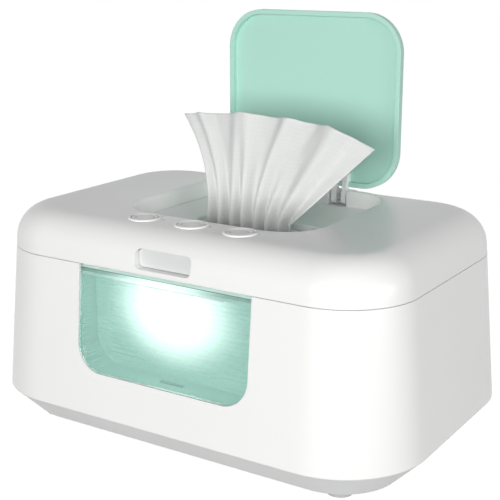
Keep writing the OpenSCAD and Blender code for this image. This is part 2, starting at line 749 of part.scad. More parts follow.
module dispenser_gasket() color("snow") translate([0, slot_y, 0]) {
  pitch = (slot_w - 20) / fingers;
  difference() {
    slab(slot_w + 11.6, slot_d + 11.6, 11.8, gasket_z, gasket_z + gasket_t);
    slab(slot_w - 3.2, slot_d - 3, slot_d / 2 - 2, gasket_z - 1, gasket_z + gasket_t + 1);
  }
  for (k = [0:fingers - 1], s = [0, 180])
    rotate([0, 0, s]) translate([(k - (fingers - 1) / 2) * pitch, slot_d / 2 - 1, gasket_z + 0.4])
      finger(finger_len, pitch - 0.8, 38);
  for (s = [90, -90], y = [-3, 3])
    rotate([0, 0, s]) translate([y, slot_w / 2 - 2, gasket_z + 0.4]) finger(end_finger, 5, 30);
}

// top wipe pulled up through the slot: a fan of pleats, as a closed sheet
function mix(a, b, t) = a + (b - a) * t;
function ease(t) = t * t * (3 - 2 * t);
function pleat_wave(u) = cos(360 * (u - 0.44) / pleat_pitch);
function top_x(u) = -fan_left + fan_w * u;
function top_z(u) = body_h + fan_h + 8 * sin(180 * pow(u, 0.8)) - 4.5 * u + 1.4 * pleat_wave(u);
// how far a pleat comes forward: the left end of the fan is nearly flat
function pleat(u) =
  (0.25 + 0.75 * ease(min(1, u / 0.42))) * pleat_wave(u) - 0.5 * (1 - ease(min(1, u / 0.3)));
function wipe_point(u, v) =
  let (t = max(0, (v - 2) / (wipe_v - 2)), s = ease(t) * 0.35 + 0.65 * t,
    low_x = mix(-wipe_half, wipe_half, u))
  v < 2 ?
    [low_x, slot_y + 1.6 * cos(720 * u), mix(wipe_low, dish_z - 3, v / 2)] :
    [mix(low_x, top_x(u), s), slot_y - mix(1.6, pleat_depth, s) * pleat(u) + 2.5 * s,
      mix(dish_z - 3, top_z(u), t)];

// closed sheet over a grid of points, as thick as t towards the back
module sheet(points, rows, cols, t) {
  n = rows * cols;
  back = [for (p = points) p + [0, t, 0]];
  cells = [for (i = [0:rows - 2], j = [0:cols - 2])
    [i * cols + j, i * cols + j + 1, (i + 1) * cols + j + 1, (i + 1) * cols + j]];
  edge = concat([for (j = [0:cols - 1]) j], [for (i = [1:rows - 1]) i * cols + cols - 1],
    [for (j = [cols - 2:-1:0]) (rows - 1) * cols + j], [for (i = [rows - 2:-1:1]) i * cols]);
  m = len(edge);
  polyhedron(points = concat(points, back), faces = concat(
    [for (q = cells, f = [[q[1], q[2], q[0]], [q[2], q[3], q[0]]]) f],
    [for (q = cells, f = [[q[2], q[1], q[0]], [q[3], q[2], q[0]]]) f + [n, n, n]],
    [for (k = [0:m - 1], f = [[edge[(k + 1) % m] + n, edge[(k + 1) % m], edge[k]],
      [edge[k] + n, edge[(k + 1) % m] + n, edge[k]]]) f]));
}

module pulled_wipe() color("white")
  sheet([for (v = [0:wipe_v], u = [0:wipe_u]) wipe_point(u / wipe_u, v)], wipe_v + 1, wipe_u + 1, wipe_t);

// leaf spring behind the latch button, bowed between two posts
module latch_spring() color("silver")
  translate([0, leaf_y - leaf_bow - leaf_t + leaf_r + leaf_t, latch_z - 1.5]) rotate([0, 0, -90 - leaf_a])
    rotate_extrude(angle = 2 * leaf_a) translate([leaf_r, 0]) square([leaf_t, 5]);

// button board under the front of the top
module button_board() color("green") difference() {
  translate([-board_w / 2, button_y - 8, board_z]) cube([board_w, 13.6, board_t]);
  board_places() translate([0, 0, board_z - 1]) cylinder(r = 1.3, h = board_t + 2);
}

module button_switches() color("dimgray") button_places() translate([0, 0, board_z + board_t]) {
  translate([-3, -3, 0]) cube([6, 6, switch_h]);
  cylinder(r = 1.7, h = switch_h + plunger_h);
}

module board_screws() color("silver") board_places() screw(0.85, 2, 1.2, 7, board_z - 1.2);

module indicator_lights() color("white") indicator_places() {
  translate([0, 0, board_z + board_t]) cylinder(r = 1.8, h = 2);
  translate([0, 0, board_z + board_t]) cylinder(r = 0.9, h = body_h - board_z - board_t + 0.05);
}

module lid_hinge_pins() color("silver") for (s = [-1, 1])
  rod_x(lid_pin_r, s * arm_x - pocket_w / 2 - pocket_wall, s * arm_x + pocket_w / 2 + pocket_wall,
    pivot_y, pivot_z);

// turns what is drawn closed open about the lid's pivot
module opened()
  translate([0, pivot_y, pivot_z]) rotate([lid_open, 0, 0]) translate([0, -pivot_y, -pivot_z])
    children();

module lid() color([0.71, 0.91, 0.84]) opened() difference() {
  low = lid_top - lid_t;
  bottom = lid_top - skirt_h;
  translate([0, lid_y, 0]) {
    around(lid_w, lid_d, lid_r) {
      polygon([[-lid_rim - 5, low], [-lid_rim, low], [-lid_rim, bottom], [0, bottom],
        [0, lid_top - lid_edge_r], [-lid_edge_r, lid_top - lid_edge_r], [-lid_edge_r, lid_top],
        [-lid_rim - 5, lid_top]]);
      intersection() {
        translate([-lid_edge_r, lid_top - lid_edge_r]) circle(lid_edge_r);
        translate([-lid_edge_r, lid_top - lid_edge_r]) square(lid_edge_r);
      }
    }
    slab(lid_w - 2 * lid_rim - 6, lid_d - 2 * lid_rim - 6, lid_r - lid_rim - 3, low, lid_top);
  }
  // notch in the front rim that snaps over the bump in the well
  translate([-catch_w / 2, lid_y - lid_d / 2 - 1, catch_z - 0.4]) cube([catch_w, lid_rim + 2, catch_h + 0.8]);
}

// forked hinge arms that clip on the inside of the lid
module lid_hinge_arms() color("white") opened() difference() {
  low = lid_top - lid_t;
  foot = lid_back - lid_rim;
  for (s = [-1, 1]) translate([s * arm_x - arm_w / 2, 0, 0]) {
    for (x = [0, arm_w - prong_w]) translate([x, 0, 0]) {
      rod_x(knuckle_r, 0, prong_w, pivot_y, pivot_z);
      rotate([90, 0, 90]) linear_extrude(prong_w)
        polygon([[foot - 5, low], [foot, low], [foot, lid_top - skirt_h], [lid_back, lid_top - skirt_h],
          [lid_back + 2.2, lid_top - 2.6], [pivot_y - 2.4, pivot_z + knuckle_r],
          [pivot_y, pivot_z + knuckle_r], [pivot_y, pivot_z - knuckle_r], [lid_back - 1, arm_low],
          [foot - 5, arm_low + 1.4]]);
    }
    translate([0, foot - 5, low - 2.2]) cube([arm_w, 5, 2.2]);
  }
  for (s = [-1, 1])
    rod_x(lid_pin_r + slip, s * arm_x - arm_w, s * arm_x + arm_w, pivot_y, pivot_z);
}

// push buttons with a dished top
module push_button(k) color("white") translate([k * button_pitch, button_y, 0]) {
  top = body_h + button_rise;
  dish_ball = 16;
  rotate_extrude() difference() {
    union() {
      polygon([[0, flange_z], [button_r + 1.2, flange_z], [button_r + 1.2, flange_z + button_flange],
        [button_r, flange_z + button_flange], [button_r, top - 1], [button_r - 1, top - 1],
        [button_r - 1, top], [0, top]]);
      intersection() {
        translate([button_r - 1, top - 1]) circle(1);
        translate([button_r - 1, top - 1]) square(1);
      }
    }
    translate([0, top + dish_ball - 0.9]) circle(dish_ball);
    translate([-20, 0]) square([20, body_h + 20]);
  }
}

module power_button() push_button(-1);
module heat_button() push_button(0);
module light_button() push_button(1);

// latch button with its hook
module latch_button() color("gainsboro") {
  face = latch_y + latch_sink;
  back = latch_y + sleeve_len + 0.4;
  difference() {
    union() {
      upright(face, back + hook_t) translate([0, latch_z]) rounded_rect(latch_w, latch_h, 2.7);
      upright(back, back + hook_t) translate([0, latch_z]) rounded_rect(latch_w + 3, latch_h + 2, 3);
    }
    // hollow back
    upright(face + 1.8, back - 0.01) translate([0, latch_z]) rounded_rect(latch_w - 3.2, latch_h - 3.2, 1.6);
  }
  translate([-hook_w / 2, back, tank_top - flange_t - 1.4])
    cube([hook_w, hook_t, latch_z - tank_top + flange_t]);
  translate([-hook_w / 2, keeper_y + 0.2, tank_top - flange_t - 1.4]) cube([hook_w, back - keeper_y, 1.1]);
}

outer_shell();
base_pan();
rubber_feet();
base_screws();
window_pane();
light_chamber();
night_light_board();
night_light_leds();
tank();
tub_frame();
tank_seal();
heater_plate();
heating_element();
insulation_pad();
thermal_cutout();
temperature_sensor();
control_board();
control_board_parts();
power_inlet();
cover_hinge_pins();
wipe_stack();
top_cover();
cover_liner();
liner_screws();
dispenser_insert();
dispenser_gasket();
pulled_wipe();
button_board();
button_switches();
board_screws();
indicator_lights();
lid_hinge_pins();
lid();
lid_hinge_arms();
latch_button();
latch_spring();
power_button();
heat_button();
light_button();
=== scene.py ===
# %% [markdown]
# This lesson dresses a wipe warmer. The rigid pieces arrive as a fixed frame at their real
# size, in metres. Most of them keep the shape they came with and only need a surface; the
# soft ones, and what repeats, are made here.

# %% Load the frame
import json
import math

import bmesh
import bpy
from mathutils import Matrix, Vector, noise


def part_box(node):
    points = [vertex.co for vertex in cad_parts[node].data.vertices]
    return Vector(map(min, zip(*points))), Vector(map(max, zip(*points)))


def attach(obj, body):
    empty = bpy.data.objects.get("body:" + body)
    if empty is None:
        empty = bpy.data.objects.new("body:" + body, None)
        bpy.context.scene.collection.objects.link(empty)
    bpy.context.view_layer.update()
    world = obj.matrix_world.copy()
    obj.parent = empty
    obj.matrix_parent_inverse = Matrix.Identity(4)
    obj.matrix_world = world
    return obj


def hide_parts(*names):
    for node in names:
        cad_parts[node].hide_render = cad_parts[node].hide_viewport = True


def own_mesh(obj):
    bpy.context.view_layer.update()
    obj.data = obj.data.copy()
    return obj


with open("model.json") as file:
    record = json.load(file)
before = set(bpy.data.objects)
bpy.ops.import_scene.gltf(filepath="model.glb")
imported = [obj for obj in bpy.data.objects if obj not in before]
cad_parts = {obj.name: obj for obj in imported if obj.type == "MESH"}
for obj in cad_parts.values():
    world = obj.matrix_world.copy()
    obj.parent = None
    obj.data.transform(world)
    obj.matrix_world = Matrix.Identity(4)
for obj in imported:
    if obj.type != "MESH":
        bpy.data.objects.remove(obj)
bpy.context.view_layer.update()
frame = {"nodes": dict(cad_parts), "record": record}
nodes = frame["nodes"]
MM = 0.001


def into_scene(name, data):
    """Puts a mesh, lamp or camera into the scene under one name."""
    piece = bpy.data.objects.new(name, data)
    bpy.context.scene.collection.objects.link(piece)
    return piece


print("pieces in the frame:", len(nodes))

# %% [markdown]
# The camera stands a little to the right of the warmer and looks down on it by about
# fifteen degrees, which is where the shapes in the photograph put it. A long lens keeps
# the box from looking stretched.

# %% Camera
CAMERA_PLACE = Vector((0.2996, -0.4660, 0.2403))
CAMERA_TURN = math.radians(32.66)
CAMERA_DIP = math.radians(15.17)
LENS_IN_PIXELS = 1098.96
FRAME_PIXELS = 500
SENSOR = 36.0

camera_data = bpy.data.cameras.new("camera")
camera_data.sensor_width = SENSOR
camera_data.lens = LENS_IN_PIXELS / FRAME_PIXELS * SENSOR
camera = into_scene("camera", camera_data)
camera.location = CAMERA_PLACE
camera.rotation_euler = (math.pi / 2 - CAMERA_DIP, 0, CAMERA_TURN)
bpy.context.scene.camera = camera
print("lens", round(camera_data.lens, 1), "mm")


# %% [markdown]
# Screen colours are easy to read off a photograph, but shaders want linear ones, so a small
# helper turns one into the other. The lamps are big and soft. The front one is the brightest,
# because the front of the housing is nearly white while its top stays light grey.

# %% Lamps
def rgb(*values):
    """Turns screen colours, 0 to 255, into the linear colours that shaders use."""
    out = []
    for v in values:
        c = v / 255
        out.append(c / 12.92 if c <= 0.04045 else ((c + 0.055) / 1.055) ** 2.4)
    return (*out, 1)


def soft_lamp(name, place, aim, size, watts):
    """A rectangular lamp at one place that looks at another."""
    data = bpy.data.lights.new(name, "AREA")
    data.shape = "RECTANGLE"
    data.size, data.size_y = size
    data.energy = watts
    lamp = into_scene(name, data)
    lamp.location = place
    lamp.rotation_euler = (Vector(aim) - Vector(place)).to_track_quat("-Z", "Y").to_euler()
    return lamp


LAMPS = [
    soft_lamp("front_softbox", (0.35, -1.45, 0.3), (0, 0, 0.07), (1.2, 0.6), 17.5),
    soft_lamp("right_fill", (1.5, -0.25, 0.22), (0, 0, 0.08), (0.9, 0.6), 8.2),
]
print("lamps:", [lamp.name for lamp in LAMPS])


# %% [markdown]
# Node trees take many lines when every link is written out. A small class wraps a tree and
# gives short ways to add nodes, feed their sockets and do sums. Every later tree uses it.

# %% Node tree helper
class Tree:
    """A node tree, with short ways to add and join nodes."""

    def __init__(self, tree):
        self.tree = tree

    def add(self, kind, settings=None, **sockets):
        """Adds a node. The settings are its attributes, the sockets its inputs by name."""
        node = self.tree.nodes.new(kind)
        for key, value in (settings or {}).items():
            setattr(node, key, value)
        for key, value in sockets.items():
            self.feed(value, node.inputs[key.replace("_", " ")])
        return node

    def feed(self, value, socket):
        """Links a socket to another one, or gives it a plain value."""
        if isinstance(value, bpy.types.NodeSocket):
            self.tree.links.new(value, socket)
        else:
            socket.default_value = value

    def operate(self, kind, operation, values):
        """A node that does sums, with its inputs fed in order."""
        node = self.add(kind, {"operation": operation})
        for socket, value in zip(node.inputs, values):
            self.feed(value, socket)
        return node.outputs

    def math(self, operation, *values):
        return self.operate("ShaderNodeMath", operation, values)[0]

    def vector(self, operation, *values):
        return self.operate("ShaderNodeVectorMath", operation, values)

    def mix(self, factor, first, second, blend="MIX"):
        """A mix of two colours. Names repeat on this node, so its sockets come by number."""
        node = self.add("ShaderNodeMix", {"data_type": "RGBA", "blend_type": blend})
        for place, value in ((0, factor), (6, first), (7, second)):
            self.feed(value, node.inputs[place])
        return node.outputs[2]

    def group(self, group, **values):
        """Places a node group in this tree and sets its inputs."""
        node = self.add("ShaderNodeGroup", {"node_tree": group.tree})
        for key, value in values.items():
            self.feed(value, node.inputs[key.replace("_", " ")])
        return node.outputs


print("node tree helper ready")

# %% [markdown]
# The background is white, but white light from everywhere would wash the object out. Light
# Path tells the two apart: rays from the camera, and those that a shiny or clear surface
# passes on, see white, while all other rays find a much dimmer sky. The floor does the same,
# and adds a little of its own shading, so that it keeps the object's shadow.

# %% Sky and floor
SKY_LIGHT = 0.22
FLOOR_GLOW = 0.97
FLOOR_SIZE = 6.0
FLOOR_GREY = (0.2, 0.2, 0.2, 1)
WHITE = (1, 1, 1, 1)


def seen_white(tree):
    """1 for rays that look at the picture, 0 for rays that carry light."""
    path = tree.add("ShaderNodeLightPath").outputs
    looking = tree.math("MAXIMUM", path["Is Camera Ray"], path["Is Glossy Ray"])
    return tree.math("MAXIMUM", looking, path["Is Transmission Ray"])


world = bpy.data.worlds.new("studio")
world.use_nodes = True
bpy.context.scene.world = world
world.node_tree.nodes.clear()
studio = Tree(world.node_tree)
sky = studio.add("ShaderNodeMixShader", Fac=seen_white(studio))
for place, strength in ((1, SKY_LIGHT), (2, 1.0)):
    shine = studio.add("ShaderNodeBackground", Color=WHITE, Strength=strength)
    studio.feed(shine.outputs[0], sky.inputs[place])
studio.add("ShaderNodeOutputWorld", Surface=sky.outputs[0])

half = FLOOR_SIZE / 2
floor_mesh = bpy.data.meshes.new("floor")
floor_mesh.from_pydata(
    [(-half, -half, 0), (half, -half, 0), (half, half, 0), (-half, half, 0)], [], [(0, 1, 2, 3)])
floor = into_scene("floor", floor_mesh)
floor_look = bpy.data.materials.new("pale_floor")
floor_look.use_nodes = True
ground = Tree(floor_look.node_tree)
shader = floor_look.node_tree.nodes["Principled BSDF"]
for label, value in (("Base Color", FLOOR_GREY), ("Roughness", 0.9), ("Specular IOR Level", 0.0)):
    shader.inputs[label].default_value = value
glow = ground.add("ShaderNodeEmission", Color=seen_white(ground), Strength=FLOOR_GLOW)
both = ground.add("ShaderNodeAddShader")
ground.feed(shader.outputs[0], both.inputs[0])
ground.feed(glow.outputs[0], both.inputs[1])
ground.feed(both.outputs[0], floor_look.node_tree.nodes["Material Output"].inputs["Surface"])
floor_mesh.materials.append(floor_look)
bpy.context.scene.view_settings.view_transform = "Standard"
print("sky", SKY_LIGHT, "floor glow", FLOOR_GLOW)


# %% [markdown]
# Several finishes share an effect: moulded plastic has a fine spark-eroded grain and slightly
# uneven tone, its sharp edges are a little rounded and painted lighter, partly as rubbed wear
# and partly as painted highlight, pressed metal is brushed. Each effect is one node group,
# built once, and every material sets its own values on it.

# %% Node groups
class Group(Tree):
    """A node group under construction, with named inputs and outputs."""

    def __init__(self, name, inputs, outputs, kind="ShaderNodeTree"):
        super().__init__(bpy.data.node_groups.new(name, kind))
        face = self.tree.interface
        for label, socket_kind, value in inputs:
            socket = face.new_socket(name=label, in_out="INPUT", socket_type=socket_kind)
            if value is not None:
                socket.default_value = value
        for label, socket_kind in outputs:
            face.new_socket(name=label, in_out="OUTPUT", socket_type=socket_kind)
        self.given = self.add("NodeGroupInput").outputs
        self.made = self.add("NodeGroupOutput").inputs

    def result(self, label, value):
        self.feed(value, self.made[label])


def place_of(group, scale=(1, 1, 1)):
    """Object coordinates, stretched by a Mapping node."""
    spot = group.add("ShaderNodeTexCoord")
    return group.add("ShaderNodeMapping", Vector=spot.outputs["Object"], Scale=scale).outputs[0]


F, V = "NodeSocketFloat", "NodeSocketVector"

grain = Group("moulded_grain", [("Scale", F, 2600.0), ("Unevenness", F, 0.03)],
              [("Height", F), ("Tone", F), ("Roughness", F)])
fine = grain.add("ShaderNodeTexNoise", Vector=place_of(grain), Scale=grain.given["Scale"], Detail=2.0)
broad = grain.add("ShaderNodeTexNoise", Vector=place_of(grain), Scale=22.0, Detail=3.0)
loss = grain.math("MULTIPLY", broad.outputs["Fac"], grain.given["Unevenness"])
grain.result("Height", fine.outputs["Fac"])
grain.result("Tone", grain.math("SUBTRACT", 1.0, loss))
grain.result("Roughness", grain.math("MULTIPLY_ADD", broad.outputs["Fac"], 0.12, -0.06))

edge = Group("rubbed_edge", [("Radius", F, 0.0004)], [("Normal", V), ("Edge", F)])
rounded = edge.add("ShaderNodeBevel", {"samples": 4}, Radius=edge.given["Radius"])
flat = edge.add("ShaderNodeNewGeometry")
match = edge.vector("DOT_PRODUCT", rounded.outputs[0], flat.outputs["Normal"])["Value"]
edge.result("Normal", rounded.outputs[0])
edge.result("Edge", edge.math("MULTIPLY", edge.math("SUBTRACT", 1.0, match), 3.0))

brush = Group("brushed_metal", [("Scale", F, 900.0)], [("Height", F), ("Tone", F), ("Roughness", F)])
streak = brush.add("ShaderNodeTexNoise", Vector=place_of(brush, (0.06, 1, 1)),
                   Scale=brush.given["Scale"], Detail=4.0)
brush.result("Height", streak.outputs["Fac"])
brush.result("Tone", brush.math("MULTIPLY_ADD", streak.outputs["Fac"], 0.16, 0.88))
brush.result("Roughness", brush.math("MULTIPLY_ADD", streak.outputs["Fac"], 0.2, -0.1))
print("groups:", [g.name for g in bpy.data.node_groups])

# %% [markdown]
# The wipes are spun, not woven. A hot roller presses a lattice of small dimples into them,
# and loose fibres cloud the surface between. The pattern follows the cloth, so this group
# reads the sheet's own UV map, which counts in metres.

# %% Spun cloth group
spun = Group("spun_cloth", [("Dimple spacing", F, 0.0022), ("Fibre scale", F, 700.0)],
             [("Height", F), ("Tone", F)])
sheet_uv = spun.add("ShaderNodeUVMap", {"uv_map": "cloth"})
per_metre = spun.math("DIVIDE", 1.0, spun.given["Dimple spacing"])
cells = spun.add("ShaderNodeTexVoronoi", {"feature": "F1"}, Vector=sheet_uv.outputs[0],
                 Scale=per_metre, Randomness=0.12)
dimple = spun.add("ShaderNodeMapRange", {"interpolation_type": "SMOOTHSTEP"},
                  Value=cells.outputs["Distance"], From_Min=0.12, From_Max=0.42)
fibres = spun.add("ShaderNodeTexNoise", Vector=sheet_uv.outputs[0], Scale=spun.given["Fibre scale"],
                  Detail=5.0, Distortion=1.2)
height = spun.math("MULTIPLY_ADD", fibres.outputs["Fac"], 0.5, dimple.outputs[0])
spun.result("Height", height)
# The dimples are painted a little darker: painted shade in the pits.
spun.result("Tone", spun.math("MULTIPLY_ADD", dimple.outputs[0], 0.025, 0.97))
print("cloth group:", spun.tree.name)

# %% [markdown]
# The night light's glow on the chamber is painted: one soft round patch, white in the middle,
# that fades into a painted mint glow over the chamber. A group measures the distance from the
# patch's middle across the window and gives back a mask. A second one draws the fine level
# lines that the moulded chamber shows, with painted shade in their grooves.

# %% Glow groups
WINDOW_PLANE = (0.78, 0, 1.0)

patch = Group("glow_patch", [("Centre", V, (0, 0, 0)), ("Inner", F, 0.012), ("Outer", F, 0.036)],
              [("Mask", F)])
spot = patch.add("ShaderNodeTexCoord")
away = patch.vector("SUBTRACT", spot.outputs["Object"], patch.given["Centre"])[0]
across = patch.vector("MULTIPLY", away, WINDOW_PLANE)[0]
reach = patch.vector("LENGTH", across)["Value"]
fade = patch.add("ShaderNodeMapRange", {"interpolation_type": "SMOOTHERSTEP"}, Value=reach,
                 From_Min=patch.given["Inner"], From_Max=patch.given["Outer"], To_Min=1.0, To_Max=0.0)
patch.result("Mask", fade.outputs[0])

lines = Group("level_lines", [("Pitch", F, 0.0012)], [("Height", F), ("Tone", F)])
spot = lines.add("ShaderNodeTexCoord")
height = lines.add("ShaderNodeSeparateXYZ", Vector=spot.outputs["Object"]).outputs["Z"]
turns = lines.math("DIVIDE", height, lines.given["Pitch"])
ripple = lines.math("SINE", lines.math("MULTIPLY", turns, 2 * math.pi))
drift = lines.add("ShaderNodeTexNoise", Vector=place_of(lines, (0.02, 0.02, 1)), Scale=600.0, Detail=1.0)
cloud = lines.math("MULTIPLY_ADD", drift.outputs["Fac"], 0.14, 0.91)
lines.result("Height", ripple)
# The tone follows the ripple: painted shade in each groove and painted highlight on each crest, over a random
# cloud of tone.
lines.result("Tone", lines.math("MULTIPLY_ADD", ripple, 0.02, cloud))
print("groups:", len(bpy.data.node_groups))


# %% [markdown]
# A material is made of one Principled shader, which stays in the material itself, and the
# groups that vary its colour, roughness and normal. Values that are the same all over go
# straight on the shader's sockets, so that an exporter can read them.

# %% Material maker
def surface(name, color, rough, effect=grain, depth=0.000006, edge_radius=0.0,
            edge_wear_and_highlight=None, values=None, **more):
    """A finish: an effect group varies it, and its edges can be rounded and painted lighter, partly as wear
    and partly as painted highlight.
    """
    look = bpy.data.materials.new(name)
    look.use_nodes = True
    tree = Tree(look.node_tree)
    shader = look.node_tree.nodes["Principled BSDF"]
    for key, value in {"Roughness": rough, **more}.items():
        shader.inputs[key.replace("_", " ")].default_value = value
    made = tree.group(effect, **(values or {}))
    paint = tree.mix(1.0, color, made["Tone"], "MULTIPLY")
    bump = tree.add("ShaderNodeBump", Strength=1.0, Distance=depth, Height=made["Height"])
    if edge_radius:
        corner = tree.group(edge, Radius=edge_radius)
        tree.feed(corner["Normal"], bump.inputs["Normal"])
        # The lighter edge colour is partly rubbed wear and partly painted highlight.
        if edge_wear_and_highlight:
            paint = tree.mix(corner["Edge"], paint, edge_wear_and_highlight)
    tree.feed(paint, shader.inputs["Base Color"])
    tree.feed(bump.outputs[0], shader.inputs["Normal"])
    if "Roughness" in made:
        tree.feed(tree.math("ADD", made["Roughness"], rough), shader.inputs["Roughness"])
    return look


print("material maker ready")

# %% [markdown]
# The housing is glossy white plastic, the lid and the window are mint. The insert, the tub
# and the latch are other mouldings, each a shade off white. Small parts get what such parts
# are made of: rubber, steel, aluminium, green boards, black thermoplastic.

# %% Plastics, rubber and metals
# The lighter edge colours of the housing, the lid and the black parts are partly wear and partly painted
# highlight.
LOOKS = {
    "housing": surface("white_abs", rgb(249, 249, 248), 0.34, edge_radius=0.0005, edge_wear_and_highlight=rgb(254, 254, 254),
                       Coat_Weight=0.15, Coat_Roughness=0.2),
    "base": surface("white_pan", rgb(240, 241, 240), 0.42, edge_radius=0.0005),
    "foot": surface("grey_rubber", rgb(196, 198, 196), 0.75, depth=0.00002, values={"Scale": 900.0}),
    "tub": surface("tub_polypropylene", rgb(238, 241, 240), 0.45, depth=0.00001, edge_radius=0.0003,
                   Subsurface_Weight=0.1, Subsurface_Radius=(0.004, 0.004, 0.004), Subsurface_Scale=0.5),
    "insert": surface("insert_white", rgb(246, 247, 246), 0.38, edge_radius=0.0005),
    "hinge_arm": surface("arm_white", rgb(252, 252, 252), 0.36, edge_radius=0.0004),
    "button": surface("button_white", rgb(246, 246, 246), 0.3, edge_radius=0.0003),
    "latch": surface("latch_grey", rgb(221, 223, 222), 0.5, depth=0.00001, edge_radius=0.0004,
                     values={"Scale": 1500.0}),
    "lid": surface("mint_lid", rgb(183, 229, 214), 0.4, edge_radius=0.0005, edge_wear_and_highlight=rgb(206, 243, 230)),
    "soft_seal": surface("silicone", rgb(232, 234, 233), 0.6, depth=0.000012, Subsurface_Weight=0.2,
                         Subsurface_Radius=(0.003, 0.003, 0.003), Subsurface_Scale=0.5),
    "light_pipe": surface("light_pipe", rgb(214, 218, 216), 0.2, depth=0.000002),
    "steel": surface("bright_steel", rgb(196, 197, 199), 0.3, effect=brush, depth=0.00001, Metallic=1.0),
    "aluminium": surface("rolled_aluminium", rgb(205, 207, 210), 0.38, effect=brush, depth=0.00001,
                         Metallic=1.0, values={"Scale": 500.0}),
    "heater_film": surface("orange_film", rgb(206, 120, 40), 0.25, depth=0.00001, values={"Unevenness": 0.2}),
    "insulation": surface("felt_pad", rgb(216, 206, 184), 0.95, depth=0.0003,
                          values={"Scale": 420.0, "Unevenness": 0.3}),
    "light_board": surface("white_board", rgb(236, 238, 236), 0.45, edge_radius=0.0002),
    "black_parts": surface("black_thermoplastic", rgb(34, 35, 37), 0.5, depth=0.00001, edge_radius=0.0003,
                           edge_wear_and_highlight=rgb(70, 71, 73)),
}
print("finishes:", len(LOOKS))

# %% [markdown]
# A circuit board shows its copper under green varnish. A Brick texture makes runs of track,
# and a lattice of Voronoi cells puts tinned pads between them.

# %% Circuit board
board_look = surface("green_board", rgb(26, 92, 54), 0.35, depth=0.00001)
board = Tree(board_look.node_tree)
place = board.add("ShaderNodeTexCoord").outputs["Object"]
turned = board.add("ShaderNodeMapping", Vector=place, Rotation=(math.pi / 2, 0, 0))
tracks = board.add("ShaderNodeTexBrick", Vector=turned.outputs[0], Color1=rgb(22, 84, 48),
                   Color2=rgb(28, 96, 56), Mortar=rgb(58, 134, 84), Scale=260.0, Mortar_Size=0.05)
pads = board.add("ShaderNodeTexVoronoi", Vector=place, Scale=240.0, Randomness=0.35)
tinned = board.add("ShaderNodeMapRange", Value=pads.outputs["Distance"], From_Min=0.16, From_Max=0.12)
paint = board.mix(tinned.outputs[0], tracks.outputs["Color"], rgb(198, 196, 184))
board.feed(paint, board_look.node_tree.nodes["Principled BSDF"].inputs["Base Color"])
LOOKS["circuit_board"] = board_look
print("board tracks:", tracks.name)

# %% [markdown]
# The window is a clear mint pane in front of a shallow mint chamber. The pane is glass to
# the shader, with a plain transmission. The night light's glow on the chamber is painted as
# emission: it runs from a painted mint glow to white through the patch's mask, so the light
# shows however the lamps stand.

# %% Window and glow
window_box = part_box("window_pane")
window_top = window_box[1][2]
GLOW_BELOW_TOP = 20 * MM
GLOW_LEFT = 3 * MM
GLOW_INNER, GLOW_OUTER = 7 * MM, 36 * MM
GLOW_WHITE = (1.12, 1.12, 1.12, 1)
MINT = rgb(158, 186, 180)
MINT_SHARE = 0.42

LOOKS["window"] = surface("mint_pane", rgb(230, 245, 240), 0.06, depth=0.000002,
                          Transmission_Weight=1.0, IOR=1.45)
LOOKS["diffuser"] = surface("mint_chamber_painted_glow", MINT, 0.45, effect=lines, depth=0.00008)
chamber = Tree(LOOKS["diffuser"].node_tree)
shader = chamber.tree.nodes["Principled BSDF"]
glow_centre = (-GLOW_LEFT, 0, window_top - GLOW_BELOW_TOP)
mask = chamber.group(patch, Centre=glow_centre, Inner=GLOW_INNER, Outer=GLOW_OUTER)
painted_mint_glow = tuple(MINT_SHARE * c for c in MINT[:3]) + (1,)
# Painted light: the chamber's emission is a mint glow all over, with a white patch where the night light
# falls.
chamber.feed(chamber.mix(mask[0], painted_mint_glow, GLOW_WHITE), shader.inputs["Emission Color"])
shader.inputs["Emission Strength"].default_value = 1.0
LOOKS["led"] = surface("led_lens", rgb(255, 252, 236), 0.3, Emission_Color=(1, 0.98, 0.92, 1),
                       Emission_Strength=3.0)
print("glow centre", [round(c / MM, 1) for c in glow_centre], "mm")

# %% [markdown]
# The wipe's material lets some light through, as damp cloth does.

# %% Cloth
LOOKS["wipe"] = surface("damp_cloth", rgb(226, 227, 226), 0.75, effect=spun, depth=0.00004,
                        Subsurface_Weight=0.25, Subsurface_Radius=(0.003, 0.003, 0.003), Subsurface_Scale=0.4,
                        Sheen_Weight=0.25, Sheen_Roughness=0.5)
print("finishes in all:", len(LOOKS))

# %% [markdown]
# The frame's meshes are loose triangles with flat shading. A small node tree welds them and
# shades them smooth, but keeps each edge that turns by more than thirty degrees sharp. It
# stays on the piece as a modifier, because the frame's own mesh is never changed.

# %% Smooth shading
SHARP = math.radians(30)
WELD_REACH = 0.01 * MM
SHAPE = "NodeSocketGeometry"

smoother = Group("weld_and_smooth", [("Geometry", SHAPE, None)], [("Geometry", SHAPE)], "GeometryNodeTree")
weld = smoother.add("GeometryNodeMergeByDistance", Geometry=smoother.given[0], Distance=WELD_REACH)
soft = smoother.add("GeometryNodeSetShadeSmooth", Geometry=weld.outputs[0])
angle = smoother.add("GeometryNodeInputMeshEdgeAngle").outputs["Unsigned Angle"]
turn = smoother.operate("FunctionNodeCompare", "GREATER_THAN", (angle, SHARP))
sharp = smoother.add("GeometryNodeSetShadeSmooth", {"domain": "EDGE"}, Geometry=soft.outputs[0],
                     Selection=turn[0], Shade_Smooth=False)
smoother.result("Geometry", sharp.outputs[0])

slot_of = {p["node"]: p.get("material_slot", p["node"]) for p in frame["record"]["subparts"]}
for name, node in nodes.items():
    node.data.materials.clear()
    node.data.materials.append(LOOKS[slot_of[name]])
    node.modifiers.new("smooth", "NODES").node_group = smoother.tree
print("dressed:", len(nodes), "pieces of the frame")


# %% [markdown]
# What isn't in the frame is built as a mesh. Two helpers do that: one ends a shape and gives
# it its material, the other lays a sheet over a grid and gives it a UV map in metres.

# %% Sheet helper
def mesh_of(name, shape, look=None):
    """Ends a shape under construction and keeps it as a mesh with one material."""
    mesh = bpy.data.meshes.new(name)
    shape.to_mesh(mesh)
    shape.free()
    if look:
        mesh.materials.append(look)
    return mesh


